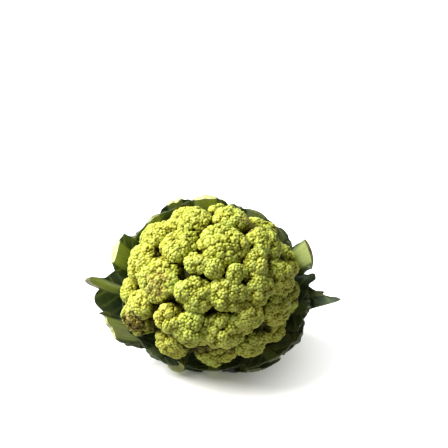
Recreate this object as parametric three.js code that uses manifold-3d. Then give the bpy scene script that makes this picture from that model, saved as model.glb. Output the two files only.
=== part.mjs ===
// A green cauliflower as sold: a lobed curd on a short cut stem, inside two rings of trimmed leaves.
// It lies on its side on a table, resting on the ribs of two outer leaves and on the lower edge of its stem,
// with the curd facing forward and up.
//
// Millimetres, +Z up, -Y towards the front. The pieces are shaped in the head's own frame, with the head's
// axis along +Z and the middle of the curd at the origin, and a group then leans the whole head forward.
import * as THREE from "three";
import { mergeVertices } from "three/addons/utils/BufferGeometryUtils.js";
import Module from "manifold-3d";

const wasm = await Module();
wasm.setup();

// Driving dimensions.
const CURD_RADIUS = 82; // across the widest part
const CURD_CROWN = 72; // from the widest part up to the crown
const CURD_BELLY = 38; // from the widest part down to the underside
const CURD_DETAIL = 16; // subdivisions of the curd's surface
const HUB_HEIGHT = -22; // where the florets branch, inside the curd
const FLORET_BULGE = 25; // radius of the rounded top of a floret of spread 1
const CREVICE_FLOOR = 0.86; // the crevices between florets go no deeper than this share of the curd's radius
const STEM_TOP_RADIUS = 23;
const STEM_CUT_RADIUS = 27;
const STEM_CUT_HEIGHT = -91;
const STEM_CHAMFER = 2;
const STEM_SEGMENTS = 36;
const GAP = 0.6; // clearance between the curd and the stem
const HEAD_DEPTH = 0.94; // from the side lain on to the opposite side, relative to the head's width
const LEAN = 45; // degrees from upright, forward
const SINK = 2.5; // how far the lowest ribs are pressed flat by the weight on them
const TABLE_SIZE = 500;

// Leaf sections. The inner leaves hug the curd, and the outer ones lie over the gaps between them. A leaf's
// middle line is a curve through radius and height, from its foot on the stem by its bend and shoulder to its
// tip.
const LAYERS = {
  inner: { foot: [26, -61], bend: [46, -54], shoulder: [76, -32] },
  outer: { foot: [27, -71], bend: [48, -62], shoulder: [80, -38] },
};
const LEAF_STEPS = 8;
const RIB_HALF_WIDTH = [6.4, 12]; // at the foot and at the tip
const RIB_HALF_THICKNESS = [3.4, 2.6]; // at the foot and at the tip
const RIB_EDGE_THICKNESS = 0.35; // of the way from the blade's thickness to the rib's
const BLADE_HALF_THICKNESS = 0.7;
const BLADE_LEAST = 1; // width of the blade beside the foot
const BLADE_START = 0.3; // share of the length where the blade begins to widen
const BLADE_FULL = 0.75; // share of the length where the blade has its full width

// Each floret: azimuth round the head's axis and polar angle from it, in degrees, seen from the hub, and the
// spread, which is its size relative to its neighbours. Azimuth 0 is the right side, -90 the side lain on.
const FLORETS = [
  // on the crown
  [-122, 21, 1.0],
  [-64, 20, 0.95],
  [-24, 31, 0.95],
  [-20, 15, 0.6],
  [8, 27, 0.75],
  [-70, 3, 0.6],
  [172, 9, 0.65],
  [64, 17, 1.4],
  [142, 27, 1.1],
  [141, 48, 0.85],
  // on the shoulder
  [-172, 36, 1.35],
  [167, 54, 1.25],
  [113, 42, 1.3],
  [72, 42, 1.05],
  [31, 42, 1.1],
  [-4, 46, 1.1],
  [-30, 53, 0.95],
  [-57, 39, 0.95],
  [-108, 43, 1.15],
  [-80, 43, 1.15],
  [-131, 44, 0.85],
  [-159, 58, 0.85],
  // round the rim
  [-155, 76, 1.05],
  [-122, 70, 1.0],
  [-88, 76, 1.2],
  [-61, 65, 0.95],
  [-38, 79, 1.05],
  [-10, 77, 1.05],
  [18, 72, 1.1],
  [48, 70, 1.15],
  [79, 72, 1.15],
  [109, 73, 1.1],
  [138, 74, 1.15],
  [166, 82, 1.1],
  [-175, 74, 0.9],
];

// Each leaf: azimuth; radius and height of its rib's trimmed tip; how far its blade reaches to either side of
// the rib, clockwise seen from the crown, then anticlockwise; the length of those two edges relative to the
// rib's; and how far round the tip is swept, in degrees.
const INNER_LEAVES = [
  [94, 94, -8, 8, 10, 0.97, 0.95, 0],
  [60, 89, -10, 10, 9, 0.93, 0.97, 0],
  [18, 95, 12, 3, 5, 0.96, 0.98, 0],
  [-15, 92, -6, 12, 6, 1.0, 0.95, 0],
  [-52, 92, -14, 13, 14, 0.94, 1.0, 0],
  [-90, 79, -25, 10, 11, 1.0, 0.97, 0],
  [-129, 88, -12, 10, 11, 0.95, 1.0, 0],
  [-163, 92, -8, 9, 10, 0.95, 1.0, 0],
  [164, 96, 10, 8, 4, 1.0, 0.95, 0],
  [129, 90, -2, 12, 12, 1.0, 0.93, 0],
];
const OUTER_LEAVES = [
  [112, 98, -13, 8, 9, 0.95, 0.98, 0],
  [76, 91, -19, 13, 12, 0.93, 0.96, 0],
  [40, 90, -15, 13, 11, 0.97, 0.93, 0],
  [1, 113, -2, 16, 9, 1.0, 0.82, -4],
  [-34, 96, -16, 8, 8, 0.95, 1.0, 0],
  [-72, 87, -30, 14, 13, 1.0, 0.97, 5],
  [-109, 84, -29.5, 3, 11, 1.0, 0.95, 0],
  [-141, 103, -8, 4, 10, 1.0, 0.88, -13],
  [183, 114, -1, 7, 16, 0.9, 0.85, -5],
  [147, 91, -8, 12, 10, 0.95, 0.98, 0],
];

const CURD_YELLOW_GREEN = { color: 0xb8c44e, roughness: 0.75, metalness: 0 };
const LEAF_DARK_GREEN = { color: 0x3d5530, roughness: 0.6, metalness: 0 };
const STEM_PALE_GREEN = { color: 0xb9c48c, roughness: 0.65, metalness: 0 };

const { degToRad, lerp, smoothstep } = THREE.MathUtils;
const HUB = new THREE.Vector3(0, 0, HUB_HEIGHT);

// A named piece of the head, with its geometry narrowed to the head's depth.
function headMesh(name, geometry, finish) {
  geometry.scale(1, HEAD_DEPTH, 1);
  const mesh = new THREE.Mesh(geometry, new THREE.MeshStandardMaterial(finish));
  mesh.name = name;
  return mesh;
}

// A closed geometry as a manifold-3d solid, and back.
function solidOf(geometry) {
  const bare = new THREE.BufferGeometry().setAttribute("position", geometry.getAttribute("position"));
  bare.setIndex(geometry.index);
  const merged = mergeVertices(bare);
  return new wasm.Manifold(
    new wasm.Mesh({
      numProp: 3,
      vertProperties: new Float32Array(merged.attributes.position.array),
      triVerts: new Uint32Array(merged.index.array),
    }),
  );
}

function geometryOf(solid) {
  const mesh = solid.getMesh();
  const geometry = new THREE.BufferGeometry();
  geometry.setAttribute("position", new THREE.BufferAttribute(mesh.vertProperties, 3));
  geometry.setIndex(new THREE.BufferAttribute(mesh.triVerts, 1));
  geometry.computeVertexNormals();
  return geometry;
}

// Unit vector at an azimuth round the axis and a polar angle from it.
function directionOf(azimuth, polar) {
  const across = Math.sin(degToRad(polar));
  const up = Math.cos(degToRad(polar));
  return new THREE.Vector3(across * Math.cos(degToRad(azimuth)), across * Math.sin(degToRad(azimuth)), up);
}

// How far the curd's overall shape reaches from the hub along a direction. It is half an ellipsoid above its
// widest part and half a flatter one below it.
function curdReach(direction) {
  const reachOf = (height) => {
    const a = (direction.x ** 2 + direction.y ** 2) / CURD_RADIUS ** 2 + direction.z ** 2 / height ** 2;
    const b = (HUB_HEIGHT * direction.z) / height ** 2;
    const c = HUB_HEIGHT ** 2 / height ** 2 - 1;
    return (Math.sqrt(b ** 2 - a * c) - b) / a;
  };
  const below = reachOf(CURD_BELLY);
  return HUB_HEIGHT + below * direction.z < 0 ? below : reachOf(CURD_CROWN);
}

// How far a floret's rounded top reaches from the hub along a direction, or 0 where it isn't in the way.
function domeReach(direction, { centre, radius }) {
  const along = centre.dot(direction);
  const acrossSquared = centre.lengthSq() - along ** 2;
  return acrossSquared < radius ** 2 ? along + Math.sqrt(radius ** 2 - acrossSquared) : 0;
}

// The curd is one solid: rounded floret tops that meet in crevices and stay within its overall shape.
function curdMesh() {
  const domes = FLORETS.map(([azimuth, polar, spread]) => {
    const direction = directionOf(azimuth, polar);
    const radius = FLORET_BULGE * spread;
    return { centre: direction.clone().multiplyScalar(curdReach(direction) - radius), radius };
  });
  const sphere = new THREE.IcosahedronGeometry(1, CURD_DETAIL);
  sphere.deleteAttribute("normal");
  sphere.deleteAttribute("uv");
  const geometry = mergeVertices(sphere);
  const surface = geometry.attributes.position;
  const direction = new THREE.Vector3();
  for (let i = 0; i < surface.count; i++) {
    direction.fromBufferAttribute(surface, i).normalize();
    const furthest = curdReach(direction);
    const reach = Math.max(furthest * CREVICE_FLOOR, ...domes.map((dome) => domeReach(direction, dome)));
    surface.setXYZ(i, ...direction.multiplyScalar(Math.min(reach, furthest)));
  }
  geometry.computeVertexNormals();
  const curd = headMesh("curd", geometry, CURD_YELLOW_GREEN);
  curd.position.copy(HUB);
  return curd;
}

function stemMesh() {
  const profile = [
    new THREE.Vector2(0, STEM_CUT_HEIGHT),
    new THREE.Vector2(STEM_CUT_RADIUS - STEM_CHAMFER, STEM_CUT_HEIGHT),
    new THREE.Vector2(STEM_CUT_RADIUS, STEM_CUT_HEIGHT + STEM_CHAMFER),
    new THREE.Vector2(STEM_TOP_RADIUS, -CURD_BELLY - GAP),
    new THREE.Vector2(0, -CURD_BELLY - GAP),
  ];
  const geometry = new THREE.LatheGeometry(profile, STEM_SEGMENTS);
  geometry.rotateX(Math.PI / 2); // the lathe turns round Y
  return headMesh("stem", geometryOf(solidOf(geometry)), STEM_PALE_GREEN);
}

// A leaf is swept from its foot on the stem, under and round the curd, to its trimmed tip. Its section is a
// thick rib with a thin blade on both sides, wrapped round the head's axis.
function leafMesh(leaf, layer, index) {
  const [azimuth, tipRadius, tipHeight, ...shape] = leaf;
  const [clockwise, anticlockwise, clockwiseLength, anticlockwiseLength, sweep] = shape;
  const { foot, bend, shoulder } = LAYERS[layer];
  const middle = new THREE.CubicBezierCurve(
    new THREE.Vector2(...foot),
    new THREE.Vector2(...bend),
    new THREE.Vector2(...shoulder),
    new THREE.Vector2(tipRadius, tipHeight),
  );
  const outside = [];
  const within = [];
  for (let i = 0; i <= LEAF_STEPS; i++) {
    const along = i / LEAF_STEPS;
    const widening = smoothstep(along, BLADE_START, BLADE_FULL);
    const rib = lerp(...RIB_HALF_WIDTH, along);
    const thick = lerp(...RIB_HALF_THICKNESS, along);
    const edge = lerp(BLADE_HALF_THICKNESS, thick, RIB_EDGE_THICKNESS);
    // Across the section: the place, the half thickness there and the length there relative to the rib's.
    const section = [
      [-rib - BLADE_LEAST - clockwise * widening, BLADE_HALF_THICKNESS, clockwiseLength],
      [-rib, edge, (1 + clockwiseLength) / 2],
      [-rib / 2, thick, 1],
      [0, thick, 1],
      [rib / 2, thick, 1],
      [rib, edge, (1 + anticlockwiseLength) / 2],
      [rib + BLADE_LEAST + anticlockwise * widening, BLADE_HALF_THICKNESS, anticlockwiseLength],
    ];
    for (const [across, halfThickness, length] of section) {
      const { x: radius, y: height } = middle.getPoint(along * length);
      const tangent = middle.getTangent(Math.min(along * length, 1));
      const angle = degToRad(azimuth + sweep * along ** 2) + across / radius;
      const offset = (side) => {
        const r = radius + side * halfThickness * tangent.y;
        return [r * Math.cos(angle), r * Math.sin(angle), height - side * halfThickness * tangent.x];
      };
      outside.push(offset(1));
      within.push(offset(-1));
    }
  }
  const shell = shellGeometry(outside, within, LEAF_STEPS + 1);
  return headMesh(`${layer}_leaf_${index + 1}`, shell, LEAF_DARK_GREEN);
}

// A closed shell from the points of its outer and inner faces, each a grid of as many rows.
function shellGeometry(outside, within, rows) {
  const columns = outside.length / rows;
  const faces = [];
  const quad = (a, b, c, d) => faces.push(a, b, c, a, c, d);
  const out = (row, column) => row * columns + column;
  const inn = (row, column) => outside.length + out(row, column);
  const top = rows - 1;
  const side = columns - 1;
  for (let row = 0; row < top; row++) {
    for (let column = 0; column < side; column++) {
      quad(out(row, column), out(row, column + 1), out(row + 1, column + 1), out(row + 1, column));
      quad(inn(row, column), inn(row + 1, column), inn(row + 1, column + 1), inn(row, column + 1));
    }
    quad(out(row, 0), out(row + 1, 0), inn(row + 1, 0), inn(row, 0));
    quad(out(row, side), inn(row, side), inn(row + 1, side), out(row + 1, side));
  }
  for (let column = 0; column < side; column++) {
    quad(out(0, column), inn(0, column), inn(0, column + 1), out(0, column + 1));
    quad(out(top, column), out(top, column + 1), inn(top, column + 1), inn(top, column));
  }
  const geometry = new THREE.BufferGeometry();
  geometry.setAttribute("position", new THREE.Float32BufferAttribute([...outside, ...within].flat(), 3));
  geometry.setIndex(faces);
  geometry.computeVertexNormals();
  return geometry;
}

// How high the lowest point of a mesh is, for a given way up.
function lowestAlong(mesh, up) {
  const surface = mesh.geometry.attributes.position;
  const point = new THREE.Vector3();
  let lowest = Infinity;
  for (let i = 0; i < surface.count; i++) {
    lowest = Math.min(lowest, point.fromBufferAttribute(surface, i).dot(up));
  }
  return lowest;
}

// Presses flat whatever reaches below the table.
function pressFlat(meshes, up, tableHeight) {
  const below = new THREE.BoxGeometry(TABLE_SIZE, TABLE_SIZE, TABLE_SIZE);
  below.translate(0, 0, tableHeight - TABLE_SIZE / 2);
  below.applyQuaternion(new THREE.Quaternion().setFromUnitVectors(new THREE.Vector3(0, 0, 1), up));
  const table = solidOf(below);
  for (const mesh of meshes) {
    if (lowestAlong(mesh, up) < tableHeight) {
      mesh.geometry = geometryOf(solidOf(mesh.geometry).subtract(table));
    }
  }
}

const leaves = [
  ...INNER_LEAVES.map((leaf, index) => leafMesh(leaf, "inner", index)),
  ...OUTER_LEAVES.map((leaf, index) => leafMesh(leaf, "outer", index)),
];
const stem = stemMesh();
const up = new THREE.Vector3(0, Math.sin(degToRad(LEAN)), Math.cos(degToRad(LEAN)));
const tableHeight = Math.min(...leaves.map((leaf) => lowestAlong(leaf, up))) + SINK;
pressFlat([...leaves, stem], up, tableHeight);

const head = new THREE.Group();
head.add(curdMesh(), stem, ...leaves);
head.rotation.x = degToRad(LEAN);

// The origin is on the table, under the middle of the whole cauliflower.
const box = new THREE.Box3().setFromObject(head, true);
const middle = box.getCenter(new THREE.Vector3());
head.position.set(-middle.x, -middle.y, -box.min.z);

const cauliflower = new THREE.Group();
cauliflower.add(head);

export default cauliflower;
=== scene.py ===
"""The looks of a green cauliflower that lies on its side on a pale floor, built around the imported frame.

Everything on the head is shaped in the head's own frame, in millimetres: its axis is +Z, the middle of the
curd is the origin, and azimuths turn anticlockwise seen from the crown, with 0 on the right and -90 on the
side lain on. to_row() then leans the head forward and puts it where the frame's stem is, in metres.
"""

import math

import bmesh
import bpy
import numpy as np
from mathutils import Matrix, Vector


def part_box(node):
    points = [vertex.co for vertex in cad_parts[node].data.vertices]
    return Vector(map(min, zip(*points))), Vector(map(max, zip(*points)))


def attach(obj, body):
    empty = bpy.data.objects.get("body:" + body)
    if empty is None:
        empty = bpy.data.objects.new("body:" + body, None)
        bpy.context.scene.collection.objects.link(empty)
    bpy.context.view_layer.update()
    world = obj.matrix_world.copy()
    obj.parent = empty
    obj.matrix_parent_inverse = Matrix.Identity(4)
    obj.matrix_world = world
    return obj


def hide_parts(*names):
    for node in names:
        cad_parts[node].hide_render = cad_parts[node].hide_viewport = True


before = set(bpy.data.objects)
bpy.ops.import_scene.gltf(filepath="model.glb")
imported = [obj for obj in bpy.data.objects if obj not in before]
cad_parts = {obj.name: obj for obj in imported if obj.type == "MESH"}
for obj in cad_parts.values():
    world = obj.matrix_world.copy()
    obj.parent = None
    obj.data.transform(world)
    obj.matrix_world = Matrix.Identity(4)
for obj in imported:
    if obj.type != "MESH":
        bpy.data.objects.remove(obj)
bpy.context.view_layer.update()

MM = 0.001

# The head's own frame, as the frame's solids have it.
HEAD_DEPTH = 0.94  # how deep the head is from the side lain on to the opposite side, relative to its width
LEAN = math.radians(45)
STEM_TOP = (23, -38.6)  # radius and height
STEM_CUT = (27, -91)
STEM_CHAMFER = 2
CURD_RADIUS = 82
CURD_CROWN = 72
CURD_BELLY = 38
HUB = np.array([0.0, 0.0, -22.0])  # where the stalks of the florets meet

# Florets.
FLORET_BULGE = 22.0  # radius of the ball that a floret of spread 1 swells from
FLORET_GAP = 2.1
FLORET_SOFTNESS = 9  # how sharply a floret's top turns into its walls
FLORET_INSET = 5.5  # room left for the knobs that stand on the floret's top
FLORET_UNEVEN = (0.05, 22)  # how much, relative to its size, and the wavelength
FLORET_FREQUENCY = 60
FLORET_OUTWARD = 0.45  # how much denser the mesh is on the top than at the stalk
FLORET_FLOOR = -31  # height of the undersides of the florets round the rim
LEAST_FACING = 1e-3  # cosine below which a direction never meets a wall
BUDDED = (-0.35, 0.15)  # where buds start and are full, as the cosine of the angle from the floret's axis
FULL_KNOBS = (0.25, 0.75)  # the same for the knobs' full height
LOW_KNOBS = 0.3  # height of the knobs on its sides, relative to their full height
CORE_FREQUENCY = 40
CORE_SHARE = 0.8  # size of the stalks' mass inside the curd, relative to the curd
CORE_SHARE_BELOW = 0.97  # the same on its underside, where it shows
CORE_BELOW = (0.0, 0.6)  # where the underside starts and is full, as the sine of the angle below level
CORE_RIDGES = 13
CORE_RIDGE_HEIGHT = 1.2
CORE_UNEVEN = (0.8, 14)
CORE_RADIUS = 60  # about how large it is
# Painted shade of the stalks' mass, which shows only deep in the crevices between the florets.
CORE_PAINTED_SHADE = 0.05
CORE_TINT = 0.5
# Name, spacing, height and roundness of each size of knob, largest first.
KNOBS = [("lobe", 13.5, 3.4, 0.62), ("knob", 7.8, 2.2, 0.58), ("bud", 2.6, 1.1, 0.62)]
# How much each size of knob counts in the painted shade, which lightens the knobs' tops and darkens their
# feet.
KNOB_SHADE_SHARES = {"lobe": 0.2, "knob": 0.4, "bud": 0.4}
KNOB_PLACING = (0.6, 1.0)  # range of the random weights that keep the knobs out of rows
KNOB_LEAST_GAP = 0.8  # the nearest that two knobs stand, relative to their spacing
KNOB_SIZES = (0.8, 1.15)
# Painted shade: the curd's colour is darker deeper in the crevices, where shade falls.
CREVICE_DEPTH = (6.5, 14.0)  # depths under the curd's overall shape where the painted shade of the crevices starts and is full
CREVICE_PAINTED_SHADE = 0.8
FLESH_BELOW = (8, 22)  # distances below the middle of the curd where bare flesh starts and is full

# Each floret: azimuth, polar angle from the axis as seen from the hub, spread, size of its knobs, and how
# far it stands out of the curd's overall shape, in millimetres.
FLORETS = [
    # on the crown
    (-122, 21, 1.0, 1.0, 0),
    (-64, 20, 0.95, 1.0, 0),
    (-24, 31, 0.95, 1.0, 0),
    (-20, 15, 0.6, 1.0, 0),
    (8, 27, 0.75, 1.0, 0),
    (-70, 3, 0.6, 1.0, 0),
    (172, 9, 0.65, 1.0, 0),
    (64, 17, 1.4, 0.9, 0),
    (142, 27, 1.1, 0.78, 0),
    (141, 48, 0.85, 0.78, 2),
    # on the shoulder
    (-172, 36, 1.35, 0.76, 0),
    (167, 54, 1.25, 0.76, 2),
    (113, 42, 1.3, 0.78, 0),
    (72, 42, 1.05, 0.9, 0),
    (31, 42, 1.1, 1.0, 0),
    (-4, 46, 1.1, 1.0, 0),
    (-30, 53, 0.95, 1.0, 0),
    (-57, 39, 0.95, 1.0, 0),
    (-108, 43, 1.15, 1.05, 0),
    (-80, 43, 1.15, 1.05, 0),
    (-131, 44, 0.85, 1.0, 0),
    (-159, 58, 0.85, 1.0, 0),
    # round the rim
    (-155, 76, 1.05, 1.0, 7),
    (-122, 70, 1.0, 1.0, -1),
    (-88, 71, 1.2, 1.0, -4),
    (-61, 65, 0.95, 1.0, 0),
    (-38, 79, 1.05, 1.0, 0),
    (-10, 77, 1.05, 1.0, 0),
    (18, 72, 1.1, 1.0, 0),
    (48, 70, 1.15, 1.0, 0),
    (79, 72, 1.15, 0.95, 0),
    (109, 73, 1.1, 0.8, 2),
    (138, 74, 1.15, 0.8, 4),
    (166, 82, 1.1, 0.8, 3),
    (-175, 74, 0.9, 1.0, 3),
]
BLEMISH = (-150, 70, 16)  # azimuth, polar angle and radius of the damaged spot
BLEMISH_SINK = 3.5
BLEMISH_DEPTH = 0.6  # of most of it, relative to BLEMISH_SINK
BLEMISH_PITS = (0.7, 6)  # how much that varies, and the wavelength
BLEMISH_DEEPEST = 1.5
STAINS = [(-165, 35, 13), (53, 42, 12)]  # the same as BLEMISH for faint pinkish brown stains
SPOT_REACH = 1.15  # how far a spot's edge lies, relative to its radius
SPOT_RAGGED = (0.35, 9)
SPOT_EDGE = (0.1, 0.6)

# Leaves: the middle line of each layer, as radius and height of its foot, bend and shoulder.
LAYERS = {
    "inner": ((26, -61), (46, -54), (76, -32)),
    "outer": ((27, -71), (48, -62), (80, -38)),
}
RIB_HALF_WIDTH = (6.4, 12)
RIB_OUTSIDE = (3.4, 2.6)
RIB_INSIDE = (3.0, 2.0)
BLADE_HALF_THICKNESS = 0.5
BLADE_LEAST = 1.0
BLADE_START = 0.3
BLADE_FULL = 0.75
LEAF_ROWS = 120
LEAF_COLUMNS = 91
LEAF_RIB_SHARE = 0.42  # of the columns
LEAF_LENGTH = 95  # about how far it is from foot to tip
RIB_INSIDE_ROUNDNESS = 1.5
EDGE_THINNING = 0.6
EDGE_THIN = (0.8, 1)  # where the blade starts to thin and is thinnest, from 0 on the rib to 1 at its edge
MARGIN_UNEVEN = (1.2, 12)  # how far the edge of the blade strays, and the wavelength
MARGIN_PLACE = (90, 4)  # the length of the edge, and how far its two sides are apart in the random field
TORN_DEPTH = 0.02  # relative to the length of the leaf
TORN_SHAPES = ((1, 11), (0.35, 4))  # how much each size of tear counts, and its wavelength
TORN_HALF_WIDTH = 30
TORN_BLUR = 5  # columns
END_SHIFT = (0.3, 1)  # where along the leaf its length starts to follow its end, and follows it fully
VEIN_SPACING = 11.0
VEIN_SLOPE = 0.9
VEIN_WIDTH = (0.045, 0.075)  # at the edge of the blade and at the rib, relative to the spacing
VEIN_FADE = 0.6  # how much fainter a vein is at the edge
VEIN_OUTSIDE = 0.35  # how far a vein stands out, and how far it is sunk on the inside
VEIN_INSIDE = 0.15
VEIN_START = (0.25, 0.5)
WAVE_HEIGHT = 1.3
WAVE_START = (0.35, 0.8)
WAVE_TURNS = (17, 3)  # radians along the leaf and across it
WAVE_PHASES = (0, 6)
CRUMPLE_HEIGHT = 0.5
CRUMPLE_WAVELENGTH = 14
CURL_START = (0.5, 1)
BROWN_END = (0.88, 1.0)
BROWN_EDGE = (0.85, 1)
BROWN_SPOTS = (0.5, 1.3)  # where in a random field spots start and are full
BROWN_SPOTS_WAVELENGTH = 16
BROWN_MORE = 0.9  # how much lower spots start on a browner leaf
BROWN_SHARES = {"spots": 0.8, "end": 0.7, "edge": 0.5}
RIB_SHADE = (0.7, 1.1)  # where the rib's colour starts to fade and is gone, relative to its share
BASE_PALE = (0.2, 0.6)
LEAF_SHARP = math.radians(50)

# The looks of a leaf, where its own row doesn't change them.
LEAF_LOOKS = {
    "ends": ((-1, 0.95), (0, 1), (1, 0.95)),  # length at places across, from -1 clockwise to 1 anticlockwise
    "rib_width": 0.7,  # relative to the full rib
    "rib_height": 0.6,
    "pale": 0.3,  # how pale the rib is
    "brown": 0.2,
    "torn": 0.5,
    "wavy": 1.0,
    "curl": 0.0,  # how far the edges of the blade bend away from the curd, in millimetres
    "cut": 0.6,  # how dried the cut end is
}
# Each leaf: azimuth of the rib; radius and height of its tip; widths of the blade, clockwise and
# anticlockwise; and the sweep of the tip, in degrees. Then come its looks.
LEAVES = {
    "inner_leaf_1": (
        (94, 94, -8, 8, 10, 0),
        {"pale": 1, "rib_width": 1, "rib_height": 1.6, "torn": 0.2, "cut": 0.05},
    ),
    "inner_leaf_2": ((60, 89, -10, 10, 9, 0), {"pale": 0.4, "rib_width": 0.9, "torn": 0.1, "cut": 0.8}),
    "inner_leaf_3": (
        (18, 95, 12, 3, 1, 0),
        {
            "ends": ((-1, 0.96), (0, 1), (0.6, 1.0), (1, 0.97)),
            "rib_width": 1.05,
            "rib_height": 0.5,
            "pale": 1,
            "torn": 0.05,
            "wavy": 0.2,
            "brown": 0.1,
            "cut": 1,
        },
    ),
    "inner_leaf_4": ((-15, 92, -6, 12, 6, 0), {"pale": 0.1}),
    "inner_leaf_5": (
        (-52, 92, -14, 13, 14, 0),
        {
            "ends": ((-1, 0.9), (0, 1), (0.6, 1.02), (1, 0.99)),
            "brown": 0.6,
            "rib_width": 0.5,
            "rib_height": 0.4,
        },
    ),
    "inner_leaf_6": (
        (-90, 81, -26, 13, 13, 0),
        {"ends": ((-1, 1.02), (1, 1.02)), "pale": 0.8, "rib_width": 0.5, "rib_height": 0.2, "cut": 1},
    ),
    "inner_leaf_7": ((-129, 88, -12, 10, 11, 0), {"pale": 0.1}),
    "inner_leaf_8": (
        (-163, 92, -8, 9, 10, 0),
        {"ends": ((-1, 0.85), (0, 0.9), (1, 0.95)), "pale": 0.1, "torn": 0.2},
    ),
    "inner_leaf_9": (
        (161, 96, 10, 8, 4, 0),
        {
            "ends": ((-1, 0.99), (-0.3, 1), (0.4, 0.97), (1, 0.92)),
            "rib_width": 1,
            "rib_height": 1.2,
            "pale": 0.9,
            "torn": 0.05,
            "wavy": 0.2,
            "brown": 0.05,
            "cut": 0.0,
        },
    ),
    "inner_leaf_10": ((129, 90, -2, 12, 12, 0), {"pale": 0.5, "torn": 0.3}),
    "outer_leaf_1": (
        (112, 98, -13, 8, 9, 0),
        {"ends": ((-1, 0.93), (-0.4, 1), (0.4, 1), (1, 0.9)), "pale": 0.9, "rib_height": 1, "cut": 0.2},
    ),
    "outer_leaf_2": ((76, 91, -19, 13, 12, 0), {"pale": 0.3}),
    "outer_leaf_3": ((40, 90, -15, 13, 11, 0), {"pale": 0.2}),
    "outer_leaf_4": (
        (0, 113, -2, 14, 10, -5),
        {
            "ends": (
                (-1, 0.7),
                (-0.64, 0.8),
                (-0.6, 0.9),
                (-0.57, 1.0),
                (-0.545, 1.045),
                (-0.505, 1.08),
                (-0.436, 1.03),
                (-0.3, 0.97),
                (-0.105, 0.93),
                (0.13, 0.89),
                (0.25, 0.92),
                (0.33, 0.9),
                (0.42, 0.85),
                (0.52, 0.81),
                (0.65, 0.77),
                (0.8, 0.85),
                (1, 0.85),
            ),
            "rib_width": 0.4,
            "rib_height": 0.5,
            "pale": 0.1,
            "torn": 0.1,
            "brown": 0.1,
        },
    ),
    "outer_leaf_5": ((-34, 96, -16, 8, 8, 0), {"brown": 1.5, "pale": 0.2}),
    "outer_leaf_6": (
        (-70, 93, -25, 14, 15, 5),
        {
            "ends": ((-1, 0.8), (-0.5, 0.86), (0, 0.92), (0.5, 1.0), (0.85, 1.04), (1, 1.0)),
            "brown": 0.8,
            "pale": 0.4,
            "torn": 0.5,
        },
    ),
    "outer_leaf_7": (
        (-109, 84, -24, 3, 11, -5),
        {
            "ends": ((-1, 0.92), (-0.5, 0.97), (-0.3, 1.0), (0.3, 1.0), (0.5, 0.97), (1, 0.95)),
            "rib_width": 0.7,
            "rib_height": 2.0,
            "pale": 1,
            "torn": 0.2,
            "brown": 0.1,
            "cut": 0.0,
        },
    ),
    "outer_leaf_8": (
        (-141, 105, -8, 4, 10, -16),
        {
            "ends": ((-1, 0.96), (-0.9, 1.02), (-0.75, 1.05), (-0.4, 1.0), (0, 0.97), (0.5, 0.97), (1, 0.9)),
            "rib_width": 1.2,
            "rib_height": 0.6,
            "pale": 1,
            "brown": 0.5,
            "torn": 0.5,
            "cut": 0.3,
        },
    ),
    "outer_leaf_9": (
        (183, 114, -1, 7, 25, -5),
        {
            "ends": (
                (-1, 0.78),
                (-0.45, 0.88),
                (-0.3, 1.0),
                (0, 1.02),
                (0.25, 0.98),
                (0.36, 0.9),
                (0.55, 0.96),
                (0.7, 0.96),
                (0.85, 0.9),
                (1, 0.76),
            ),
            "rib_width": 0.5,
            "rib_height": 1.3,
            "pale": 1,
            "torn": 0.05,
            "wavy": 0.5,
            "brown": 0.05,
            "curl": 2,
            "cut": 0.9,
        },
    ),
    "outer_leaf_10": ((147, 91, -8, 12, 10, 0), {"pale": 0.4}),
}

# The stem.
STEM_TURNS = 240
STEM_SIDE_RINGS = 90
STEM_EDGE_RINGS = 8
STEM_CUT_RINGS = 40
SCAR_HALF_WIDTH = 6.5
SCAR_HALF_HEIGHT = 7
SCAR_DROP = 3  # how far the middle of a leaf's scar is below its foot
SCAR_HEIGHT = 1.6
STEM_UNEVEN = (0.5, 16)
STEM_CUT_WAVY = (0.35, 18)
STEM_CUT_ROUGH = (0.12, 5)
STEM_SHARP = math.radians(60)

# Random seeds. Each floret and each leaf adds its own number.
FLORET_SEED = 100
LEAF_SEED = 500
CORE_SEED = 5
STEM_SEED = 9

# Camera and light.
CAMERA_DISTANCE = 0.788
CAMERA_ELEVATION = math.radians(31)
CAMERA_AIM_UP = math.radians(4.0)
CAMERA_AIM_RIGHT = math.radians(0.9)
CAMERA_LENS = 68.3
KEY_FROM = (-0.64, 0.12, 0.76)
KEY_STRENGTH = 6.9
KEY_SOFTNESS = math.radians(40)
KEY_COLOUR = (1.0, 0.99, 0.96)
FILL_ABOVE = 0.08  # light from the studio's walls
FILL_BELOW = 0.55  # light thrown back by the floor
FILL_HORIZON = 0.1  # sine of the angle to either side of level over which one turns into the other
FILL_COLOUR = (1, 0.98, 0.82, 1)
FLOOR_SIZE = 30
FLOOR_WHITE = 0.85
FLOOR_MOTTLE = 0.01
# Painted light: distances from the middle where the floor's glow starts and is full, and its strength at
# each. The glow lightens the floor's shadow away from the head.
FLOOR_PAINTED_GLOW = (0.03, 0.125, 0.08, 0.93)

# How unlike one another the waves of a random field are, and what keeps it mostly within -1 and 1.
WOBBLE_WAVELENGTHS = (0.7, 1.4)
WOBBLE_SIZE = 0.7

# Finishes. A ramp is a list of places from 0 to 1, each with its colour. A noise is how many features it has
# in a metre, and its detail. A bump is its strength, and its depth in metres.
NOISE_ROUGHNESS = 0.55

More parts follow.
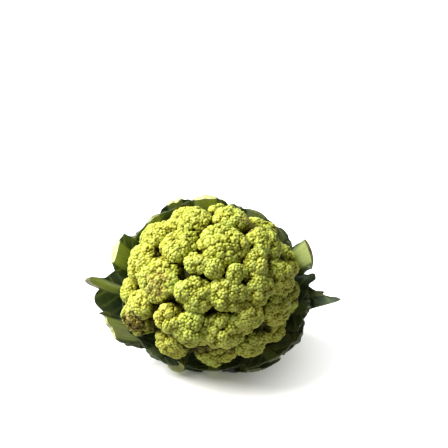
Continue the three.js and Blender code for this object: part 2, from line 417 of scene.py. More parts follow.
CURD_NOISES = {"patches": (30.0, 3.0), "flesh": (60.0, 3.0), "rot": (230.0, 4.0), "grain": (1500.0, 2.0)}
CURD_RELIEF_SHADE = [  # painted shade, from dark in the crevices to light on the tops of the buds
    (0.0, (0.045, 0.04, 0.001)),
    (0.3, (0.15, 0.14, 0.01)),
    (0.55, (0.42, 0.42, 0.045)),
    (0.75, (0.60, 0.63, 0.11)),
    (1.0, (0.74, 0.83, 0.25)),
]
CURD_PATCHES = [(0.35, (0.93, 1.0, 0.95)), (0.65, (1.04, 0.98, 0.85))]
CURD_TINTS = [(0.2, (0.86, 0.90, 0.78)), (0.8, (1.05, 1.03, 1.05))]
CURD_FLESH = ((0.52, 0.60, 0.26), (0.62, 0.66, 0.36))
CURD_STAIN = (0.42, 0.25, 0.10)
CURD_STAIN_SHARE = 0.35
CURD_ROT = [
    (0.3, (0.03, 0.018, 0.005)),
    (0.42, (0.2, 0.14, 0.03)),
    (0.56, (0.48, 0.42, 0.1)),
    (0.75, (0.66, 0.64, 0.34)),
]
CURD_BUMP = (0.25, 0.0003)
CURD_SHADER = {
    "Roughness": 0.62,
    "Specular IOR Level": 0.15,
    "Subsurface Weight": 0.1,
    "Subsurface Radius": (1.0, 0.9, 0.25),
    "Subsurface Scale": 0.001,
}

LEAF_NOISES = {"patches": (55.0, 4.0), "bloom": (140.0, 3.0), "brown": (210.0, 4.0), "grain": (700.0, 3.0)}
LEAF_FIBRES = (1.6, 2.0)  # a noise, but counted in a millimetre across the leaf
LEAF_FIBRE_STRETCH = 0.05  # how often the fibres change along the leaf, relative to across it
LEAF_BLADE = [(0.25, (0.016, 0.032, 0.010)), (0.5, (0.035, 0.062, 0.022)), (0.75, (0.075, 0.115, 0.050))]
LEAF_BLOOM = (0.13, 0.19, 0.15)
LEAF_BLOOM_SHARE = 0.5
LEAF_VEIN = (0.24, 0.31, 0.12)
LEAF_RIB = [(0.25, (0.26, 0.33, 0.08)), (0.5, (0.42, 0.50, 0.16)), (0.8, (0.60, 0.66, 0.30))]
LEAF_RIB_GREEN = 0.75  # how much of the blade's colour a rib that isn't pale has
LEAF_BROWN = [(0.3, (0.18, 0.14, 0.06)), (0.7, (0.56, 0.48, 0.27))]
LEAF_GRAIN = 0.35  # height of the grain, relative to the fibres of the rib
LEAF_BUMP = (0.5, 0.0006)
LEAF_ROUGHNESS = [(0.3, 0.42), (0.7, 0.6)]
LEAF_SHADER = {
    "Specular IOR Level": 0.45,
    "Subsurface Weight": 0.08,
    "Subsurface Radius": (0.6, 1.0, 0.3),
    "Subsurface Scale": 0.0012,
}

CUT_NOISES = {"flesh": (240.0, 3.0), "blotches": (90.0, 4.0), "grain": (900.0, 3.0)}
CUT_FLESH = [(0.3, (0.58, 0.60, 0.22)), (0.6, (0.74, 0.76, 0.40)), (0.8, (0.80, 0.82, 0.54))]
CUT_BLOTCHES = [(0.4, 0.6), (0.7, 1.0)]
CUT_DRIED = (0.07, 0.05, 0.02)
CUT_BLADE = (0.06, 0.085, 0.03)
CUT_ON_RIB = [(0.2, 0.0), (0.7, 1.0)]
CUT_BUMP = (0.4, 0.0004)
CUT_SHADER = {
    "Roughness": 0.45,
    "Subsurface Weight": 0.15,
    "Subsurface Radius": (1.0, 1.0, 0.6),
    "Subsurface Scale": 0.002,
}

STEM_NOISES = {"skin": (70.0, 4.0), "dried": (120.0, 4.0), "grain": (500.0, 4.0)}
STEM_SKIN = [(0.3, (0.28, 0.36, 0.13)), (0.55, (0.42, 0.50, 0.22)), (0.8, (0.55, 0.60, 0.34))]
STEM_SCAR = (0.50, 0.46, 0.25)
STEM_RINGS = [  # across the cut, from the skin to the middle
    (0.0, (0.40, 0.48, 0.20)),
    (0.12, (0.66, 0.70, 0.42)),
    (0.3, (0.74, 0.76, 0.52)),
    (0.34, (0.62, 0.64, 0.36)),
    (0.42, (0.74, 0.76, 0.52)),
    (1.0, (0.70, 0.72, 0.46)),
]
STEM_DRIED = (0.38, 0.28, 0.11)
STEM_DRIED_SHARE = [(0.5, 0.0), (0.8, 0.6)]
STEM_BUMP = (0.4, 0.0006)
STEM_SHADER = {
    "Roughness": 0.5,
    "Subsurface Weight": 0.1,
    "Subsurface Radius": (1.0, 1.0, 0.6),
    "Subsurface Scale": 0.002,
}

FLOOR_NOISE = (3.0, 3.0)
FLOOR_SHADER = {
    "Roughness": 0.8,
    "Specular IOR Level": 0.1,
    # the colour of the floor's painted glow
    "Emission Color": (1.0, 1.0, 1.0, 1.0),
}


# Places.


def head_origin():
    """Where the middle of the curd is in the row frame, from the ends of the frame's stem."""
    low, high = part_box("stem")
    across, height = STEM_CUT
    up = high.z - (STEM_TOP[0] * HEAD_DEPTH + STEM_TOP[1]) * MM * math.sin(LEAN)
    ends = [(across, height + STEM_CHAMFER), (across - STEM_CHAMFER, height)]
    back = high.y - max(y * HEAD_DEPTH - z for y, z in ends) * MM * math.sin(LEAN)
    return Vector(((low.x + high.x) / 2, back, up))


HEAD = head_origin()


def to_row(points):
    """Points of the head's own frame, in millimetres, as points of the row frame, in metres."""
    x, y, z = (points * [1, HEAD_DEPTH, 1]).T
    sine, cosine = math.sin(LEAN), math.cos(LEAN)
    leaned = np.stack([x, y * cosine - z * sine, y * sine + z * cosine], axis=1)
    return leaned * MM + np.array(HEAD)


def direction_of(azimuth, polar):
    """Unit vector at an azimuth round the head's axis and a polar angle from it, in degrees."""
    a, p = math.radians(azimuth), math.radians(polar)
    return np.array([math.sin(p) * math.cos(a), math.sin(p) * math.sin(a), math.cos(p)])


def unit(vectors):
    return vectors / np.linalg.norm(vectors, axis=-1, keepdims=True)


def smoothstep(values, low, high):
    t = np.clip((np.asarray(values, float) - low) / (high - low), 0, 1)
    return t * t * (3 - 2 * t)


def between(ends, share):
    return ends[0] + (ends[1] - ends[0]) * share


def wobble(points, wavelength, rng, waves=9):
    """A smooth random field at points, mostly within -1 and 1."""
    total = np.zeros(len(points))
    for _ in range(waves):
        heading = unit(rng.normal(size=points.shape[1]))
        wave = heading * 2 * math.pi / (wavelength * rng.uniform(*WOBBLE_WAVELENGTHS))
        total += np.sin(points @ wave + rng.uniform(0, 2 * math.pi))
    return total / math.sqrt(waves / 2) * WOBBLE_SIZE


def uneven(points, amounts, rng):
    """A wobble at points, of an amount and a wavelength."""
    amount, wavelength = amounts
    return amount * wobble(points, wavelength, rng)


# Meshes.


def geodesic(frequency):
    """Vertices and triangles of a sphere: an icosahedron with each edge divided frequency times."""
    bm = bmesh.new()
    bmesh.ops.create_icosphere(bm, subdivisions=1, radius=1)
    corners = np.array([[v.co[:] for v in f.verts] for f in bm.faces])
    bm.free()
    steps = [(i, j) for i in range(frequency + 1) for j in range(frequency + 1 - i)]
    place = {step: k for k, step in enumerate(steps)}
    grid = np.array(steps) / frequency
    weights = np.column_stack([1 - grid.sum(1), grid])
    points = unit(np.einsum("pc,fcx->fpx", weights, corners))
    triangles = []
    for i, j in steps:
        if i + j < frequency:
            triangles.append((place[i, j], place[i + 1, j], place[i, j + 1]))
        if i + j < frequency - 1:
            triangles.append((place[i + 1, j], place[i + 1, j + 1], place[i, j + 1]))
    faces = np.array(triangles)[None] + (np.arange(len(corners)) * len(steps))[:, None, None]
    flat = points.reshape(-1, 3)
    _, first, merged = np.unique(np.round(flat, 5), axis=0, return_index=True, return_inverse=True)
    return flat[first], merged.reshape(-1)[faces.reshape(-1, 3)]


def normals_of(points, triangles):
    a, b, c = (points[triangles[:, k]] for k in range(3))
    turned = np.cross(b - a, c - a)
    total = np.zeros_like(points)
    for corner in range(3):
        for axis in range(3):
            total[:, axis] += np.bincount(triangles[:, corner], turned[:, axis], len(points))
    return unit(total + 1e-12)


def make_piece(name, points, faces, materials, node, attributes=(), face_materials=None, sharp=None):
    """A mesh object of the head in place. points are in the head's own frame, in millimetres."""
    placed = to_row(points)
    placed[:, 2] = np.maximum(placed[:, 2], 0)
    mesh = bpy.data.meshes.new(name)
    mesh.vertices.add(len(placed))
    mesh.vertices.foreach_set("co", placed.astype(np.float32).ravel())
    corners = faces.shape[1]
    mesh.loops.add(faces.size)
    mesh.loops.foreach_set("vertex_index", faces.astype(np.int32).ravel())
    mesh.polygons.add(len(faces))
    mesh.polygons.foreach_set("loop_start", np.arange(0, faces.size, corners, dtype=np.int32))
    if face_materials is not None:
        mesh.polygons.foreach_set("material_index", face_materials.astype(np.int32))
    mesh.update(calc_edges=True)
    mesh.shade_smooth()
    if sharp is not None:
        mesh.set_sharp_from_angle(angle=sharp)
    for label, values in dict(attributes).items():
        layer = mesh.attributes.new(label, "FLOAT", "POINT")
        layer.data.foreach_set("value", values.astype(np.float32))
    for material in materials:
        mesh.materials.append(material)
    piece = bpy.data.objects.new(name, mesh)
    bpy.context.scene.collection.objects.link(piece)
    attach(piece, "root")
    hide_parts(node)
    return piece


# Materials.


def new_material(name):
    """A material, its shader, a function that adds a node, and one that sets or links an input."""
    material = bpy.data.materials.new(name)
    material.use_nodes = True
    tree = material.node_tree
    shader = tree.nodes["Principled BSDF"]

    def add(kind, settings=None, **inputs):
        node = tree.nodes.new("ShaderNode" + kind)
        for key, value in (settings or {}).items():
            setattr(node, key, value)
        for key, value in inputs.items():
            connect(value, node.inputs[int(key[1:]) if key[0] == "i" and key[1:].isdigit() else key])
        return node

    def connect(value, socket):
        if isinstance(value, bpy.types.NodeSocket):
            tree.links.new(value, socket)
        elif isinstance(value, tuple) and len(value) == 3 and socket.type == "RGBA":
            socket.default_value = (*value, 1)
        else:
            socket.default_value = value

    return material, shader, add, connect


def attribute(add, name):
    return add("Attribute", {"attribute_name": name}).outputs["Fac"]


def math_node(add, operation, a, b=0.0):
    return add("Math", {"operation": operation}, i0=a, i1=b).outputs[0]


def mix_colours(add, share, a, b, blend="MIX"):
    node = add("Mix", {"data_type": "RGBA", "blend_type": blend})
    for socket, value in ((node.inputs[0], share), (node.inputs[6], a), (node.inputs[7], b)):
        if isinstance(value, bpy.types.NodeSocket):
            socket.id_data.links.new(value, socket)
        else:
            socket.default_value = (*value, 1) if isinstance(value, tuple) else value
    return node.outputs[2]


def ramp(add, value, stops, blend="LINEAR"):
    """A colour ramp of (position, colour) stops. A colour is three numbers, or one for grey."""
    node = add("ValToRGB", None, Fac=value)
    node.color_ramp.interpolation = blend
    elements = node.color_ramp.elements
    while len(elements) < len(stops):
        elements.new(0.5)
    for element, (position, colour) in zip(elements, stops):
        element.position = position
        element.color = (*colour, 1) if isinstance(colour, tuple) else (colour, colour, colour, 1)
    return node.outputs[0]


def noise(add, place, scale, detail):
    node = add("TexNoise", None, Vector=place, Scale=scale, Detail=detail, Roughness=NOISE_ROUGHNESS)
    return node.outputs["Fac"]


def roughen(add, connect, shader, height, strength, distance):
    """Gives a shader a bump of a height from 0 to 1."""
    bump = add("Bump", None, Height=height, Strength=strength, Distance=distance)
    connect(bump.outputs[0], shader.inputs["Normal"])


def set_sockets(node, values):
    """Sets inputs of a node that nothing is linked to."""
    for socket, value in values.items():
        node.inputs[socket].default_value = value


def set_range(node, low, high, at_low, at_high):
    """Makes a Map Range node turn low to high into at_low to at_high."""
    set_sockets(node, {"From Min": low, "From Max": high, "To Min": at_low, "To Max": at_high})


def curd_material():
    """Pale granules with painted shade darkening the crevices, with bare flesh below, a damaged spot and
    faint stains.
    """
    material, shader, add, connect = new_material("curd_surface")
    place = add("TexCoord").outputs["Object"]
    # Painted shade: dark in the crevices, light on the tops of the knobs.
    top = ramp(add, attribute(add, "relief"), CURD_RELIEF_SHADE)
    patches = ramp(add, noise(add, place, *CURD_NOISES["patches"]), CURD_PATCHES)
    tint = ramp(add, attribute(add, "tint"), CURD_TINTS)
    patchy = mix_colours(add, 1.0, top, patches, "MULTIPLY")
    tinted = mix_colours(add, 1.0, patchy, tint, "MULTIPLY")
    flesh = mix_colours(add, noise(add, place, *CURD_NOISES["flesh"]), *CURD_FLESH)
    fleshy = mix_colours(add, attribute(add, "flesh"), tinted, flesh)
    stain = mix_colours(add, CURD_STAIN_SHARE, fleshy, CURD_STAIN)
    stained = mix_colours(add, attribute(add, "stain"), fleshy, stain)
    rot = ramp(add, noise(add, place, *CURD_NOISES["rot"]), CURD_ROT)
    connect(mix_colours(add, attribute(add, "blemish"), stained, rot), shader.inputs["Base Color"])
    roughen(add, connect, shader, noise(add, place, *CURD_NOISES["grain"]), *CURD_BUMP)
    set_sockets(shader, CURD_SHADER)
    return material


def leaf_material():
    """Dark waxy blade with a grey bloom and light veins, a fibrous rib, and brown spots."""
    material, shader, add, connect = new_material("leaf_skin")
    place = add("TexCoord").outputs["Object"]
    along = math_node(add, "MULTIPLY", attribute(add, "along"), LEAF_FIBRE_STRETCH)
    fibre_place = add("CombineXYZ", None, X=attribute(add, "across"), Y=along)
    fibres = noise(add, fibre_place.outputs[0], *LEAF_FIBRES)
    patches = noise(add, place, *LEAF_NOISES["patches"])
    bloom = math_node(add, "MULTIPLY", noise(add, place, *LEAF_NOISES["bloom"]), LEAF_BLOOM_SHARE)
    blade = mix_colours(add, bloom, ramp(add, patches, LEAF_BLADE), LEAF_BLOOM)
    veined = mix_colours(add, attribute(add, "vein"), blade, LEAF_VEIN)
    pale_rib = ramp(add, fibres, LEAF_RIB)
    green_rib = mix_colours(add, LEAF_RIB_GREEN, pale_rib, blade)
    rib = mix_colours(add, attribute(add, "pale"), green_rib, pale_rib)
    ribbed = mix_colours(add, attribute(add, "rib"), veined, rib)
    brown = ramp(add, noise(add, place, *LEAF_NOISES["brown"]), LEAF_BROWN)
    connect(mix_colours(add, attribute(add, "brown"), ribbed, brown), shader.inputs["Base Color"])
    stripes = math_node(add, "MULTIPLY", fibres, attribute(add, "rib"))
    grain = math_node(add, "MULTIPLY", noise(add, place, *LEAF_NOISES["grain"]), LEAF_GRAIN)
    roughen(add, connect, shader, math_node(add, "ADD", stripes, grain), *LEAF_BUMP)
    connect(ramp(add, patches, LEAF_ROUGHNESS), shader.inputs["Roughness"])
    set_sockets(shader, LEAF_SHADER)
    return material


def cut_material():
    """The trimmed end of a leaf: pale flesh where the rib is cut, dry in places, and green on the blade."""
    material, shader, add, connect = new_material("cut_flesh")
    place = add("TexCoord").outputs["Object"]
    flesh = ramp(add, noise(add, place, *CUT_NOISES["flesh"]), CUT_FLESH)
    blotches = ramp(add, noise(add, place, *CUT_NOISES["blotches"]), CUT_BLOTCHES)
    dry = math_node(add, "MULTIPLY", attribute(add, "cut"), blotches)
    cut = mix_colours(add, dry, flesh, CUT_DRIED)
    pale_rib = math_node(add, "MULTIPLY", attribute(add, "rib"), attribute(add, "pale"))
    colour = mix_colours(add, ramp(add, pale_rib, CUT_ON_RIB), CUT_BLADE, cut)
    connect(colour, shader.inputs["Base Color"])
    roughen(add, connect, shader, noise(add, place, *CUT_NOISES["grain"]), *CUT_BUMP)
    set_sockets(shader, CUT_SHADER)
    return material


def stem_material():
    """Green skin with the scars of leaves, and a cut with rings in it that dries in places."""
    material, shader, add, connect = new_material("stem_skin")
    place = add("TexCoord").outputs["Object"]
    skin = ramp(add, noise(add, place, *STEM_NOISES["skin"]), STEM_SKIN)
    scarred = mix_colours(add, attribute(add, "scar"), skin, STEM_SCAR)
    rings = ramp(add, attribute(add, "depth"), STEM_RINGS)
    dried_share = ramp(add, noise(add, place, *STEM_NOISES["dried"]), STEM_DRIED_SHARE)
    dried = mix_colours(add, dried_share, rings, STEM_DRIED)
    connect(mix_colours(add, attribute(add, "cut"), scarred, dried), shader.inputs["Base Color"])
    roughen(add, connect, shader, noise(add, place, *STEM_NOISES["grain"]), *STEM_BUMP)
    set_sockets(shader, STEM_SHADER)
    return material


def floor_material():
    """White paper with painted light: it glows, starting a little away from the head, so that it stays white
    round the shadow.
    """
    material, shader, add, connect = new_material("floor_paper")
    place = add("TexCoord").outputs["Object"]
    whites = [(0.3, FLOOR_WHITE), (0.7, FLOOR_WHITE + FLOOR_MOTTLE)]
    connect(ramp(add, noise(add, place, *FLOOR_NOISE), whites), shader.inputs["Base Color"])
    # Painted light: the floor's emission grows with the distance from the head and lightens its shadow.
    away = add("VectorMath", {"operation": "LENGTH"}, i0=place).outputs["Value"]
    painted_glow = add("MapRange", {"interpolation_type": "SMOOTHSTEP"}, Value=away)
    set_range(painted_glow, *FLOOR_PAINTED_GLOW)
    connect(painted_glow.outputs[0], shader.inputs["Emission Strength"])
    set_sockets(shader, FLOOR_SHADER)
    return material


# The curd.


def curd_reach(directions):
    """How far the curd's overall shape reaches from the hub along each direction."""
    squared = directions**2

    def reach_of(height):
        a = (squared[:, 0] + squared[:, 1]) / CURD_RADIUS**2 + squared[:, 2] / height**2
        b = HUB[2] * directions[:, 2] / height**2
        c = HUB[2] ** 2 / height**2 - 1
        return (np.sqrt(b**2 - a * c) - b) / a

    below = reach_of(CURD_BELLY)
    return np.where(HUB[2] + below * directions[:, 2] < 0, below, reach_of(CURD_CROWN))


def wall_normal(axis, spread, other_axis, other_spread):
    """Normal of the wall through the hub between two florets. The larger one takes more of the angle."""
    angle = math.acos(float(np.clip(axis @ other_axis, -1, 1)))
    across = unit(other_axis - axis * (axis @ other_axis))
    turn = angle * spread / (spread + other_spread)
    return across * math.cos(turn) - axis * math.sin(turn)


def floret_walls(index):
    """The planes that bound a floret: the normal of each, a point on it, and the clearance to it."""
    azimuth, polar, spread = FLORETS[index][:3]
    axis = direction_of(azimuth, polar)
    walls = [
        (wall_normal(axis, spread, direction_of(*other[:2]), other[2]), HUB, FLORET_GAP / 2)
        for place, other in enumerate(FLORETS)
        if place != index
    ]
    walls.append((np.array([0.0, 0.0, -1.0]), np.array([0.0, 0.0, FLORET_FLOOR]), 0))
    return walls


def floret_shape(index, directions, rng):
    """Points of a floret without its knobs, along directions from its middle: a ball cut softly by walls."""
    azimuth, polar, spread, _, lift = FLORETS[index]
    axis = direction_of(azimuth, polar)
    bulge = FLORET_BULGE * spread
    centre = HUB + axis * (float(curd_reach(axis[None])[0]) + lift - bulge)
    shape = 1 + uneven(directions * bulge, FLORET_UNEVEN, rng)
    closeness = ((bulge - FLORET_INSET) * shape) ** -FLORET_SOFTNESS
    for normal, through, gap in floret_walls(index):
        facing = directions @ normal
        reach = ((through - centre) @ normal - gap) / np.maximum(facing, LEAST_FACING)
        closeness += np.where(facing > LEAST_FACING, reach**-FLORET_SOFTNESS, 0)
    return centre + directions * (closeness ** (-1 / FLORET_SOFTNESS))[:, None]


def raise_knobs(points, triangles, budded, spacing, height, roundness, rng):
    """Raises round knobs on the budded part of a surface.

    Returns the new points, how high each is on its knob, from 0 to 1, and which knob it belongs to.
    """
    placing = rng.uniform(*KNOB_PLACING, len(points)) * (budded > 0.05)
    nearest = np.full(len(points), np.inf)
    owner = np.zeros(len(points), int)
    chosen = int(np.argmax(placing))
    count = 0
    while count == 0 or nearest[chosen] > (KNOB_LEAST_GAP * spacing) ** 2:
        gap = ((points - points[chosen]) ** 2).sum(1)
        closer = gap < nearest
        nearest[closer] = gap[closer]
        owner[closer] = count
        count += 1
        chosen = int(np.argmax(nearest * placing))
    sizes = rng.uniform(*KNOB_SIZES, count)[owner]
    away = np.sqrt(nearest) / (roundness * spacing)
    dome = np.sqrt(np.clip(1 - away**2, 0, 1))
    lift = (height * sizes * dome * budded)[:, None]
    return points + normals_of(points, triangles) * lift, dome, owner


def make_floret(index, sphere, triangles, material):
    azimuth, polar, _, knob_size, _ = FLORETS[index]
    rng = np.random.default_rng(FLORET_SEED + index)
    axis = direction_of(azimuth, polar)
    directions = unit(sphere + FLORET_OUTWARD * axis)
    outward = directions @ axis
    points = floret_shape(index, directions, rng)
    budded = smoothstep(outward, *BUDDED)
    raised = budded * between((LOW_KNOBS, 1), smoothstep(outward, *FULL_KNOBS))
    # The painted shade: light on the tops of the knobs, dark at their feet and deeper in the crevices.
    relief = 0
    tint = 0
    for label, spacing, height, roundness in KNOBS:
        size = knob_size if label != "bud" else 1.0
        points, dome, owner = raise_knobs(
            points, triangles, raised, spacing * size, height * size, roundness, rng
        )
        relief = relief + KNOB_SHADE_SHARES[label] * dome
        tint = tint + rng.uniform(0, 1 / len(KNOBS), owner.max() + 1)[owner]
    blemish = spot_at(points, BLEMISH, rng)
    pits = np.clip(BLEMISH_DEPTH + uneven(points, BLEMISH_PITS, rng), 0, BLEMISH_DEEPEST)
    points = points - normals_of(points, triangles) * (BLEMISH_SINK * blemish * pits)[:, None]
    from_hub = points - HUB
    depth = curd_reach(unit(from_hub)) - np.linalg.norm(from_hub, axis=1)
    attributes = {
        "relief": relief * (1 - CREVICE_PAINTED_SHADE * smoothstep(depth, *CREVICE_DEPTH)),
        "tint": tint,
        "flesh": (1 - budded) * smoothstep(-points[:, 2], *FLESH_BELOW),
        "blemish": blemish,
        "stain": np.max([spot_at(points, stain, rng) for stain in STAINS], axis=0),
    }
    name = f"floret_{index + 1:02d}"
    return make_piece(name, points, triangles, [material], "curd", attributes)


def spot_at(points, spot, rng):
    """How far points lie within a ragged spot on the curd, from 0 to 1."""
    azimuth, polar, radius = spot
    direction = direction_of(azimuth, polar)
    middle = HUB + direction * float(curd_reach(direction[None])[0])
    away = np.linalg.norm(points - middle, axis=1) / radius
    return smoothstep(SPOT_REACH - away + uneven(points, SPOT_RAGGED, rng), *SPOT_EDGE)


def make_core(material):
    """The stalks' mass inside the curd, which fills what shows between the florets."""
    directions, triangles = geodesic(CORE_FREQUENCY)
    rng = np.random.default_rng(CORE_SEED)
    azimuth = np.arctan2(directions[:, 1], directions[:, 0])
    under = smoothstep(-directions[:, 2], *CORE_BELOW)
    ridges = CORE_RIDGE_HEIGHT * np.sin(CORE_RIDGES * azimuth) * under
    ridges = ridges + uneven(directions * CORE_RADIUS, CORE_UNEVEN, rng)
    share = between((CORE_SHARE, CORE_SHARE_BELOW), under)
    points = HUB + directions * (curd_reach(directions) * share + ridges)[:, None]
    full = np.ones(len(points))
    attributes = {
        # painted shade, as dark as deep in a crevice
        "relief": full * CORE_PAINTED_SHADE,
        "tint": full * CORE_TINT,
        "flesh": under,
        "blemish": full * 0,
        "stain": full * 0,
    }
    return make_piece("curd_stalks", points, triangles, [material], "curd", attributes)


# Leaves.


def bezier(controls, t):
    """Points and unit tangents at t of the cubic Bezier curve of four controls."""
    a, b, c, d = (np.array(control, float) for control in controls)
    t = t[:, None]
    points = a * (1 - t) ** 3 + 3 * b * t * (1 - t) ** 2 + 3 * c * t**2 * (1 - t) + d * t**3
    t = np.minimum(t, 1)
    tangents = 3 * (b - a) * (1 - t) ** 2 + 6 * (c - b) * t * (1 - t) + 3 * (d - c) * t**2
    return points, unit(tangents)


def trimmed_ends(looks, rng):
    """How long each column of a leaf is, relative to the whole leaf, as it was trimmed or torn."""
    columns = np.linspace(-1, 1, LEAF_COLUMNS)
    place = columns[:, None] * TORN_HALF_WIDTH
    jagged = sum(uneven(place, tear, rng) for tear in TORN_SHAPES)
    ends = np.interp(columns, *zip(*looks["ends"])) + TORN_DEPTH * looks["torn"] * jagged
    return np.convolve(np.pad(ends, TORN_BLUR // 2, "edge"), np.ones(TORN_BLUR) / TORN_BLUR, "valid")


def veins_at(path, along, side, beyond, blade):
    """How far points lie on a side vein, from 0 to 1. The veins slope, and take turns on the two sides."""
    turns = np.where(side < 0, VEIN_SPACING / 2, 0)
    place = (path - VEIN_SLOPE * beyond * blade + turns) / VEIN_SPACING
    vein = np.exp(-(((place % 1) - 0.5) ** 2) / (2 * between(VEIN_WIDTH, 1 - beyond) ** 2))
    return vein * (1 - VEIN_FADE * beyond) * (beyond > 0) * smoothstep(along, *VEIN_START)


def waves_at(path, across, along, side, beyond, looks, rng):
    """How far the blade bends away from the curd, in millimetres: waves, crumples and a curl."""
    spread = beyond * smoothstep(along, *WAVE_START)
    phase = along * WAVE_TURNS[0] + side * WAVE_TURNS[1] + rng.uniform(*WAVE_PHASES)
    waves = looks["wavy"] * WAVE_HEIGHT * spread * np.sin(phase)
    crumples = wobble(np.column_stack([path, across]), CRUMPLE_WAVELENGTH, rng)
    waves += looks["wavy"] * CRUMPLE_HEIGHT * spread * crumples
    waves += looks["curl"] * beyond**2 * smoothstep(along, *CURL_START)
    return waves


def make_leaf(name, shape, looks, materials):
    azimuth, tip_radius, tip_height, clockwise, anticlockwise, sweep = shape
    looks = {**LEAF_LOOKS, **looks}
    layer = name.split("_")[0]
    rng = np.random.default_rng(LEAF_SEED + list(LEAVES).index(name))

    # A grid from foot to tip and across, with the widths of the rib and the blade. beyond is 0 on the rib and
    # 1 at the edge of the blade.
    along, side = np.meshgrid(
        np.linspace(0, 1, LEAF_ROWS), np.linspace(-1, 1, LEAF_COLUMNS), indexing="ij"
    )
    along, side = along.ravel(), side.ravel()
    widening = smoothstep(along, BLADE_START, BLADE_FULL)
    full_rib = between(RIB_HALF_WIDTH, along)
    rib = full_rib * (1 + (looks["rib_width"] - 1) * widening)
    blade = full_rib - rib + BLADE_LEAST + np.where(side < 0, clockwise, anticlockwise) * widening
    beyond = np.clip((np.abs(side) - LEAF_RIB_SHARE) / (1 - LEAF_RIB_SHARE), 0, 1)
    on_rib = np.clip(side / LEAF_RIB_SHARE, -1, 1)
    margin_place = np.column_stack([along, side]) * MARGIN_PLACE
    margin = uneven(margin_place, MARGIN_UNEVEN, rng) * beyond * along
    across = on_rib * rib + np.sign(side) * (beyond * blade + margin * (beyond > 0))

    # The middle surface, along the curve of the leaf's layer.
    ends = np.tile(trimmed_ends(looks, rng), LEAF_ROWS)
    path_share = along * (1 + (ends - 1) * smoothstep(along, *END_SHIFT))
    path = path_share * LEAF_LENGTH
    points, tangents = bezier((*LAYERS[layer], (tip_radius, tip_height)), path_share)
    radius, height = points.T
    angle = np.radians(azimuth + sweep * along**2) + across / radius

    # The outside and the inside, with the rib, the veins and the waves.
    vein = veins_at(path, along, side, beyond, blade)
    waves = waves_at(path, across, along, side, beyond, looks, rng)
    crown = np.sqrt(np.clip(1 - on_rib**2, 0, 1))
    high = 1 + (looks["rib_height"] - 1) * widening
    outside = BLADE_HALF_THICKNESS + high * crown * between(RIB_OUTSIDE, along)
    inside = BLADE_HALF_THICKNESS + high * crown**RIB_INSIDE_ROUNDNESS * between(RIB_INSIDE, along)
    edge_thinning = 1 - EDGE_THINNING * smoothstep(beyond, *EDGE_THIN)
    outside = outside * edge_thinning + VEIN_OUTSIDE * vein
    inside = inside * edge_thinning - VEIN_INSIDE * vein

    def face(offset):
        r = radius + offset * tangents[:, 1]
        z = height - offset * tangents[:, 0]
        return np.column_stack([r * np.cos(angle), r * np.sin(angle), z])

    shell = np.concatenate([face(waves + outside), face(waves - inside)])
    faces, kinds = shell_faces(LEAF_ROWS, LEAF_COLUMNS)

    # What its materials need to know of each point.
    spotted = wobble(np.column_stack([path, across]), BROWN_SPOTS_WAVELENGTH, rng)
    spots_from = BROWN_SPOTS[0] - BROWN_MORE * looks["brown"]
    browned = BROWN_SHARES["spots"] * smoothstep(spotted, spots_from, BROWN_SPOTS[1])
    browned += BROWN_SHARES["end"] * smoothstep(along, *BROWN_END) * beyond
    browned += BROWN_SHARES["edge"] * smoothstep(beyond, *BROWN_EDGE)
    rib_shade = 1 - smoothstep(np.abs(side), *(LEAF_RIB_SHARE * place for place in RIB_SHADE))
    base = 1 - smoothstep(along, *BASE_PALE)
    attributes = {
        "along": path,
        "across": across,
        "vein": vein,
        "rib": np.maximum(rib_shade, base),
        "pale": np.maximum(looks["pale"], base),
        "brown": np.clip(looks["brown"] * browned, 0, 1),
        "cut": np.full(len(path), looks["cut"]),
    }
    attributes = {label: np.tile(values, 2) for label, values in attributes.items()}
    return make_piece(
        name + "_skin", shell, faces, materials, name, attributes, kinds, sharp=LEAF_SHARP
    )


def shell_faces(rows, columns):
    """Quads of a closed shell from two grids of points, outer first, and their materials: 1 on the ends."""
    quads, kinds = [], []
    index = np.arange(rows * columns).reshape(rows, columns)
    under = index + rows * columns
    for grid, turn in ((index, 1), (under, -1)):
        corners = np.stack([grid[:-1, :-1], grid[:-1, 1:], grid[1:, 1:], grid[1:, :-1]], axis=-1)
        quads.append(corners.reshape(-1, 4)[:, ::turn])
        kinds.append(np.zeros((rows - 1) * (columns - 1)))
    for a, b, kind in (
        (index[:, 0], under[:, 0], 0),
        (under[:, -1], index[:, -1], 0),
        (under[0], index[0], 1),
        (index[-1], under[-1], 1),
    ):
        quads.append(np.stack([a[:-1], a[1:], b[1:], b[:-1]], axis=-1))
        kinds.append(np.full(len(a) - 1, kind))
    return np.concatenate(quads), np.concatenate(kinds)


# The stem.


def stem_profile():
    """The stem's outline from its top to near the middle of its cut, as radius and height, and how much each
    point is on the side rather than on the cut."""
    top_radius, top_height = STEM_TOP
    cut_radius, cut_height = STEM_CUT
    heights = np.linspace(top_height, cut_height + STEM_CHAMFER, STEM_SIDE_RINGS)
    side = np.column_stack([np.interp(heights, [cut_height, top_height], [cut_radius, top_radius]), heights])
    turn = np.linspace(0, math.pi / 2, STEM_EDGE_RINGS)[1:]
    flat_radius = cut_radius - STEM_CHAMFER
    edge_heights = cut_height + STEM_CHAMFER * (1 - np.sin(turn))
    edge = np.column_stack([flat_radius + STEM_CHAMFER * np.cos(turn), edge_heights])
    cut_radii = np.linspace(flat_radius, 0, STEM_CUT_RINGS)[1:-1]
    cut = np.column_stack([cut_radii, np.full(len(cut_radii), cut_height)])
    on_side = np.concatenate([np.ones(len(side)), np.linspace(1, 0, len(edge)), np.zeros(len(cut))])
    return np.concatenate([side, edge, cut]), on_side


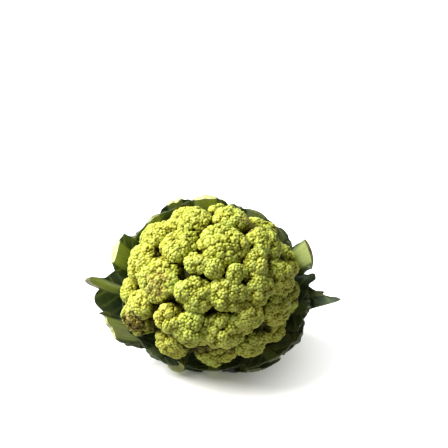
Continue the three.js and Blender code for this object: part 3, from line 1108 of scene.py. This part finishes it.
def scars_at(place, radius, height):
    """How far points of the stem lie on the scar of a leaf, from 0 to 1."""
    scar = np.zeros(len(radius))
    for name, (shape, _) in LEAVES.items():
        foot_height = LAYERS[name.split("_")[0]][0][1]
        away = (place - math.radians(shape[0]) + math.pi) % (2 * math.pi) - math.pi
        wide = np.exp(-((away * radius / SCAR_HALF_WIDTH) ** 4))
        below = np.exp(-(((height - foot_height + SCAR_DROP) / SCAR_HALF_HEIGHT) ** 4))
        scar = np.maximum(scar, wide * below)
    return scar


def make_stem(material):
    rng = np.random.default_rng(STEM_SEED)
    profile, profile_on_side = stem_profile()
    rings, turns = len(profile), STEM_TURNS
    azimuth = np.linspace(0, 2 * math.pi, turns, endpoint=False)
    ring, place = np.meshgrid(np.arange(rings), azimuth, indexing="ij")
    radius, height = profile[ring.ravel()].T
    place = place.ravel()
    on_side = np.repeat(profile_on_side, turns)
    scar = scars_at(place, radius, height)
    flat = np.column_stack([radius * np.cos(place), radius * np.sin(place), height])
    radius = radius + on_side * (SCAR_HEIGHT * scar + uneven(flat, STEM_UNEVEN, rng))
    rough_cut = (1 - on_side) * (uneven(flat, STEM_CUT_WAVY, rng) + uneven(flat, STEM_CUT_ROUGH, rng))
    points = np.column_stack([radius * np.cos(place), radius * np.sin(place), height + rough_cut])

    # Faces between the rings, and fans that close the cut and the top.
    index = np.arange(rings * turns).reshape(rings, turns)
    around = np.roll(index, -1, axis=1)
    tip, lid = len(points), len(points) + 1
    points = np.vstack([points, [[0, 0, STEM_CUT[1]], [0, 0, STEM_TOP[1]]]])
    triangles = np.concatenate(
        [
            np.stack([index[:-1], index[1:], around[1:]], -1).reshape(-1, 3),
            np.stack([index[:-1], around[1:], around[:-1]], -1).reshape(-1, 3),
            np.column_stack([index[-1], np.full(turns, tip), around[-1]]),
            np.column_stack([index[0], around[0], np.full(turns, lid)]),
        ]
    )
    attributes = {
        "scar": np.append(scar, [0, 0]),
        "cut": np.append(1 - on_side, [1, 0]),
        "depth": np.append(1 - np.clip(radius / STEM_CUT[0], 0, 1), [1, 0]),
    }
    return make_piece(
        "stem_skin", points, triangles, [material], "stem", attributes, sharp=STEM_SHARP
    )


# The setting.


def make_floor():
    mesh = bpy.data.meshes.new("floor")
    half = FLOOR_SIZE / 2
    corners = [(-half, -half, 0), (half, -half, 0), (half, half, 0), (-half, half, 0)]
    mesh.from_pydata(corners, [], [(0, 1, 2, 3)])
    mesh.materials.append(floor_material())
    floor = bpy.data.objects.new("floor", mesh)
    bpy.context.scene.collection.objects.link(floor)
    floor.visible_diffuse = False  # what it would throw back at the head is the lower half of the world


def make_camera():
    camera = bpy.data.objects.new("camera", bpy.data.cameras.new("camera"))
    camera.data.lens = CAMERA_LENS
    back = Vector((0, -math.cos(CAMERA_ELEVATION), math.sin(CAMERA_ELEVATION)))
    camera.location = HEAD + back * CAMERA_DISTANCE
    camera.rotation_euler = (math.pi / 2 - CAMERA_ELEVATION + CAMERA_AIM_UP, 0, -CAMERA_AIM_RIGHT)
    bpy.context.scene.collection.objects.link(camera)
    bpy.context.scene.camera = camera


def make_light():
    key = bpy.data.objects.new("key_light", bpy.data.lights.new("key_light", "SUN"))
    key.data.energy = KEY_STRENGTH
    key.data.angle = KEY_SOFTNESS
    key.data.color = KEY_COLOUR
    key.rotation_euler = Vector(KEY_FROM).to_track_quat("Z", "Y").to_euler()
    bpy.context.scene.collection.objects.link(key)
    world = bpy.data.worlds.new("studio")
    world.use_nodes = True
    tree = world.node_tree
    direction = tree.nodes.new("ShaderNodeSeparateXYZ")
    fill = tree.nodes.new("ShaderNodeMapRange")
    set_range(fill, -FILL_HORIZON, FILL_HORIZON, FILL_BELOW, FILL_ABOVE)
    tree.links.new(tree.nodes.new("ShaderNodeTexCoord").outputs["Generated"], direction.inputs[0])
    tree.links.new(direction.outputs["Z"], fill.inputs["Value"])
    tree.links.new(fill.outputs[0], tree.nodes["Background"].inputs["Strength"])
    tree.nodes["Background"].inputs["Color"].default_value = FILL_COLOUR
    bpy.context.scene.world = world
    bpy.context.scene.view_settings.view_transform = "Standard"


make_camera()
make_light()
make_floor()

curd_finish = curd_material()
floret_sphere, floret_triangles = geodesic(FLORET_FREQUENCY)
for floret in range(len(FLORETS)):
    make_floret(floret, floret_sphere, floret_triangles, curd_finish)
make_core(curd_finish)

leaf_finishes = [leaf_material(), cut_material()]
for leaf, (leaf_shape, leaf_looks) in LEAVES.items():
    make_leaf(leaf, leaf_shape, leaf_looks, leaf_finishes)
make_stem(stem_material())
